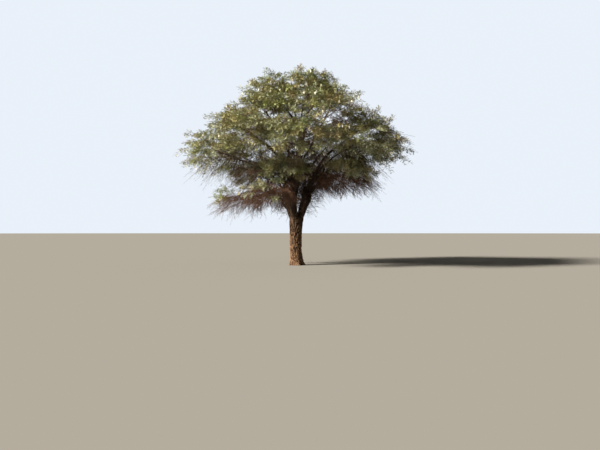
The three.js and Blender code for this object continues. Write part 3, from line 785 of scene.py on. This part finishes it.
def snags_on(pad):
    """Dead side twigs on a bough, as feet, middles and tips of the twigs and of their shoots: they stand
    round it by the golden angle and droop."""
    line, pad_key = pad["bough"]["line"], pad["key"]
    count = int(SNAGS_SHARE * pad["bough"]["span"] / SNAG_APART)
    j = np.arange(count)
    first = SNAGS_FROM_ON_LEADER if pad is leader else SNAGS_FROM
    t = first + (SNAGS_TO - first) * ((j + dice(pad_key, j, 80)) / count) ** SNAG_CROWDING
    foot = line(t)
    way = unit(line(t + AHEAD) - foot)
    aim = sideways(way, j, np.radians(SNAG_LEAN) + 0 * t, dice(pad_key, 81) * TURNS + 0 * t)
    aim = unit(aim - UP * SNAG_DROOP * dice(pad_key, j, 82)[:, None])
    tip = foot + aim * SNAG_LENGTH * varied(SNAG_VARY, pad_key, j, 83)[:, None]
    middle = bent(foot, tip, pad_key, j, 84)
    k = np.arange(SNAG_SHOOTS)[None]
    j = j[:, None]
    along = SNAG_SHOOTS_ALONG[0] + SNAG_SHOOTS_ALONG[1] * (k + 1) / SNAG_SHOOTS
    along = np.broadcast_to(along, (count, SNAG_SHOOTS))
    shoot_foot = on_bend(foot[:, None], middle[:, None], tip[:, None], along)
    lean = np.radians(LEANS[1]) + 0 * along
    aim = sideways(aim[:, None] + 0 * shoot_foot, k, lean, dice(pad_key, j, 85) * TURNS)
    aim = unit(aim - UP * SNAG_SHOOT_DROOP * dice(pad_key, j, k, 86)[..., None])
    shoot_tip = shoot_foot + aim * SNAG_SHOOT_LENGTH * varied(SNAG_SHOOT_VARY, pad_key, j, k, 87)[..., None]
    shoot_middle = bent(shoot_foot, shoot_tip, pad_key, j, k, 88)
    return (foot, middle, tip), [part.reshape(-1, 3) for part in (shoot_foot, shoot_middle, shoot_tip)]


snags = [snags_on(pad) for pad in pads]
twigs = [np.concatenate(part) for part in zip(*(twig for twig, _ in snags))]
shoots = [np.concatenate(part) for part in zip(*(shoot for _, shoot in snags))]
piece = new_mesh("dead_twigs_on_boughs", *joined([
    twig_tubes(*twigs, SNAG_RADII, *TWIG_SIDES[1]),
    twig_tubes(*shoots, TWIG_RADII[2], *TWIG_SIDES[2]),
    fine_twigs(*shoots, np.arange(len(shoots[0])), SNAG_FINE),
]), painted_shade_twig)
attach(piece, "root")


# The leaves: small grey-green feathered leaves in sprays. Each has a thin midrib with five pairs of narrow
# pointed feathers, and the leaves stand round their shoot by the golden angle, held nearly level to the sun.
LEAF_LENGTH = 0.149
LEAF_VARY = 0.25
LEAVES_ON_SHOOT = 10
LEAVES_ALONG = (0.12, 0.88)
BARE_END = 0.4  # the share of its length that a shoot may have bare at its tip
BARE_ENDED = 0.22  # the share of the shoots that has
FEATHER_PAIRS = 5
FIRST_FEATHER = 0.14  # along the midrib
FEATHER_LENGTH = (0.28, 0.14)  # the shortest, and how much longer the middle ones are
FEATHER_FOOT = 0.15  # its width on the midrib
FEATHER_LEAN = 56  # degrees from the midrib
FEATHER_LIFT = 0.22
MIDRIB = 0.02  # its width at its foot
LEAF_LEAN = 62
LEAF_FLAT = 0.5
LEAF_TILT = 0.4  # how far a leaf's face leans from straight up, as a tangent
LEAF_ROUGHNESS = 0.7
LEAF_SHINE = 0.12
# Base colours, and the share of the sprays that has each
LEAF_TINTS = {
    "olive": ((0.328, 0.302, 0.145), 0.37),
    "grey_green": ((0.315, 0.332, 0.2), 0.34),
    "deep_green": ((0.205, 0.23, 0.115), 0.17),
    "dry_gold": ((0.32, 0.265, 0.14), 0.04),
    "sunlit_green": ((0.325, 0.355, 0.145), 0.08),
}


def leaf_outline():
    """One leaf in its own axes, length 1, as corners and triangles: feathers stand evenly along both sides of
    the midrib, each a triangle whose tip leans forward and up, longest in the middle by the sine of half a
    turn."""
    step = np.linspace(0, 1, FEATHER_PAIRS)
    at = FIRST_FEATHER + (1 - FIRST_FEATHER - FEATHER_FOOT) * step
    long = FEATHER_LENGTH[0] + FEATHER_LENGTH[1] * np.sin(np.pi * step)
    lean = np.radians(FEATHER_LEAN)
    corners = []
    for side in (-1, 1):
        foot = np.stack([at, 0 * at, 0 * at], -1)
        heel = foot + np.array([FEATHER_FOOT, 0, 0])
        tip = foot + long[:, None] * np.array([np.cos(lean), side * np.sin(lean), FEATHER_LIFT])
        corners.append(np.stack([foot, tip, heel] if side > 0 else [foot, heel, tip], axis=1).reshape(-1, 3))
    corners.append(np.array([(0, -MIDRIB / 2, 0), (1, 0, 0), (0, MIDRIB / 2, 0)]))
    corners = np.concatenate(corners)
    return corners, np.arange(len(corners)).reshape(-1, 3)


def leaves_on(foot, middle, tip, key):
    """Leaves along shoots, all at once: each leaf's corners are its foot plus its length times the outline,
    laid along its own direction with its face turned up."""
    m = np.arange(LEAVES_ON_SHOOT)[None]
    key = key[:, None]
    which = np.arange(len(foot))[:, None]
    leafy = 1 - BARE_END * (dice(key, which, 20) < BARE_ENDED)
    along = (LEAVES_ALONG[0] + LEAVES_ALONG[1] * (m + 1) / LEAVES_ON_SHOOT) * leafy
    place = on_bend(foot[:, None], middle[:, None], tip[:, None], along)
    way = np.broadcast_to(unit(tip - foot)[:, None], place.shape)
    lean = np.where(m == LEAVES_ON_SHOOT - 1, END_LEAN, np.radians(LEAF_LEAN)) + 0 * along
    aim = sideways(way, m, lean, dice(key, which, 21) * TURNS + 0 * along, LEAF_FLAT)
    tilt = np.stack([LEAF_TILT * (2 * dice(key, which, m, channel) - 1) for channel in (22, 23)], -1)
    face = np.concatenate([tilt, np.ones_like(tilt[..., :1])], -1)
    side = unit(np.cross(face, aim))
    face = np.cross(aim, side)
    long = LEAF_LENGTH * varied(LEAF_VARY, key, which, m, 24)[..., None]
    outline, feathers = leaf_outline()
    axes = np.stack([aim, side, face], axis=-2) * long[..., None]
    points = (place[..., None, :] + outline @ axes).reshape(-1, len(outline), 3)
    first = (np.arange(len(points)) * len(outline))[:, None, None]
    return points.reshape(-1, 3), (feathers[None] + first).reshape(-1, 3)


leaf_materials = {}
for tint, (colour, _) in LEAF_TINTS.items():
    leaf_materials[tint], _ = plain_material(f"{tint}_leaf", colour, LEAF_ROUGHNESS, LEAF_SHINE)
for storey in ("shoulder", "top", "eaves", "skirt", "inner"):
    foot, middle, tip, dry, key = growth[storey][2]
    deal, done = dice(key, 41), 0
    for tint, (_, share) in LEAF_TINTS.items():
        mine = ~dry & (deal >= done) & (deal < done + share)
        done += share
        points, feathers = leaves_on(foot[mine], middle[mine], tip[mine], key[mine])
        piece = new_mesh(f"{tint}_leaves_{storey}", points, [feathers], leaf_materials[tint], smooth=False)
        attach(piece, "root")
        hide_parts(*nodes[storey])


# The pods: pale, velvety crescents about a hand long. They hang from the ends of shoots near the crown's
# surface, most of them in its upper storeys.
POD_SHARES = {"shoulder": 0.3, "top": 0.26, "eaves": 0.12}  # of the shoots near the surface that carry one
POD_DEPTH = 0.62  # the surface is where no pad reaches this share of its radius, squared
POD_LENGTH = 0.112
POD_VARY = 0.25
POD_WIDTH = 0.0235  # half its width
POD_FLAT = 0.5  # its thickness as a share of its width
POD_BEND = 0.42
POD_SWING = 0.9
POD_ENDS = (0.02, 0.98)  # where its first and last ring lie
POD_AROUND = 8
POD_STEPS = 6
POD_KEY = 500


def pods_at(tops):
    """Crescents, all at once: each one's middle line goes down by s and sideways by 4 s (1 - s) of half its
    bend, and its half width is the full one times the square root of the sine of half a turn times s."""
    number = np.arange(len(tops))
    turn = dice(number, POD_KEY, 51) * TURNS
    side = np.stack([np.cos(turn), np.sin(turn), 0 * turn], -1)
    down = unit(side * (dice(number, POD_KEY, 52) - 0.5)[:, None] * POD_SWING - UP)
    third = np.cross(side, down)
    side = np.cross(down, third)
    long = (POD_LENGTH * varied(POD_VARY, number, POD_KEY, 53))[:, None, None]
    s = np.linspace(*POD_ENDS, POD_STEPS + 1)[:, None]
    angle = (np.arange(POD_AROUND) / POD_AROUND * TURNS)[None]
    half = np.sqrt(np.sin(np.pi * s)) * POD_WIDTH
    off = (4 * s * (1 - s) * POD_BEND)[None] * long / 2 + half * np.cos(angle)
    thick = half * POD_FLAT * np.sin(angle) + 0 * off
    drop = s[None] * long + 0 * off
    points = tops[:, None, None] + (
        drop[..., None] * down[:, None, None] + off[..., None] * side[:, None, None]
        + thick[..., None] * third[:, None, None])
    place, _, quads = tube_net(POD_STEPS + 1, POD_AROUND)
    caps = np.stack([place[0][::-1], place[-1]])
    first = (np.arange(len(tops)) * place.size)[:, None, None]
    return points.reshape(-1, 3), [quads[None] + first, caps[None] + first]


pod_material, _ = plain_material("pod_velvet", (0.82, 0.79, 0.68), roughness=0.8)
for storey, share in POD_SHARES.items():
    _, _, tip, dry, key = growth[storey][2]
    depth = (((squashed(tip)[:, None] - balls) ** 2).sum(-1) / sizes ** 2).min(-1)
    bearing = ~dry & (depth > POD_DEPTH) & (dice(key, np.arange(len(key)), 55) < share)
    piece = new_mesh(f"pods_{storey}", *pods_at(tip[bearing]), pod_material)
    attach(piece, "root")
    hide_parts(*nodes[storey])


# The studio: a plain pale floor and sky, a broad soft sun from the left and a little to the front, and the
# camera where the photo's was.
FLOOR_COLOUR = (0.22, 0.214, 0.2)
FLOOR_RADIUS = 600
FLOOR_CORNERS = 96
SKY_LIGHT = (0.98, 0.95, 0.88)  # the sky's light on the tree, and the sky as the camera sees it
SKY_STRENGTH = 0.17
SEEN_SKY = (0.86, 0.92, 1)
SEEN_SKY_STRENGTH = 0.95
SUN_COLOUR = (1, 0.93, 0.81)
SUN_STRENGTH = 12.8
SUN_WIDTH = 10  # degrees
SUN_FROM_LEFT = 68  # degrees from the camera's side round to the left
SUN_HEIGHT = 28
EYE_HEIGHT = 1.6
CAMERA_AWAY = 28
CAMERA_X = 0.144
CAMERA_PITCH = 0.66  # degrees up
CAMERA_SEES = 1000
PHOTO_WIDTH = 600
FOCAL_PIXELS = 583
SENSOR = 36

floor_material, _ = plain_material("pale_floor", FLOOR_COLOUR, roughness=1, specular=0)
rim = np.arange(FLOOR_CORNERS) / FLOOR_CORNERS * TURNS
corners = np.stack([np.cos(rim), np.sin(rim), 0 * rim], -1) * FLOOR_RADIUS
floor = new_mesh("floor", corners, [np.arange(FLOOR_CORNERS)[None]], floor_material, smooth=False)

world = bpy.data.worlds.new("pale_sky")
bpy.context.scene.world = world
bpy.context.scene.view_settings.view_transform = "Standard"
world.use_nodes = True
sky_light = world.node_tree.nodes["Background"]
seen_sky = add_node(world, "ShaderNodeBackground")
for background, colour, strength in ((sky_light, SKY_LIGHT, SKY_STRENGTH),
                                     (seen_sky, SEEN_SKY, SEEN_SKY_STRENGTH)):
    background.inputs["Color"].default_value = (*colour, 1)
    background.inputs["Strength"].default_value = strength
seen = add_node(world, "ShaderNodeLightPath").outputs["Is Camera Ray"]
sky = add_node(world, "ShaderNodeMixShader", [(0, seen), (1, sky_light.outputs[0]), (2, seen_sky.outputs[0])])
world.node_tree.links.new(sky.outputs[0], world.node_tree.nodes["World Output"].inputs["Surface"])

sun = bpy.data.lights.new("soft_sun", "SUN")
sun.energy = SUN_STRENGTH
sun.angle = np.radians(SUN_WIDTH)
sun.color = SUN_COLOUR
sun_object = bpy.data.objects.new("soft_sun", sun)
sun_object.rotation_euler = (np.radians(90 - SUN_HEIGHT), 0, np.radians(-SUN_FROM_LEFT))
bpy.context.scene.collection.objects.link(sun_object)

camera = bpy.data.cameras.new("camera")
camera.sensor_width = SENSOR
camera.lens = FOCAL_PIXELS / PHOTO_WIDTH * SENSOR
camera.clip_end = CAMERA_SEES
camera_object = bpy.data.objects.new("camera", camera)
camera_object.location = (CAMERA_X, -CAMERA_AWAY, EYE_HEIGHT)
camera_object.rotation_euler = (np.radians(90 + CAMERA_PITCH), 0, 0)
bpy.context.scene.collection.objects.link(camera_object)
bpy.context.scene.camera = camera_object
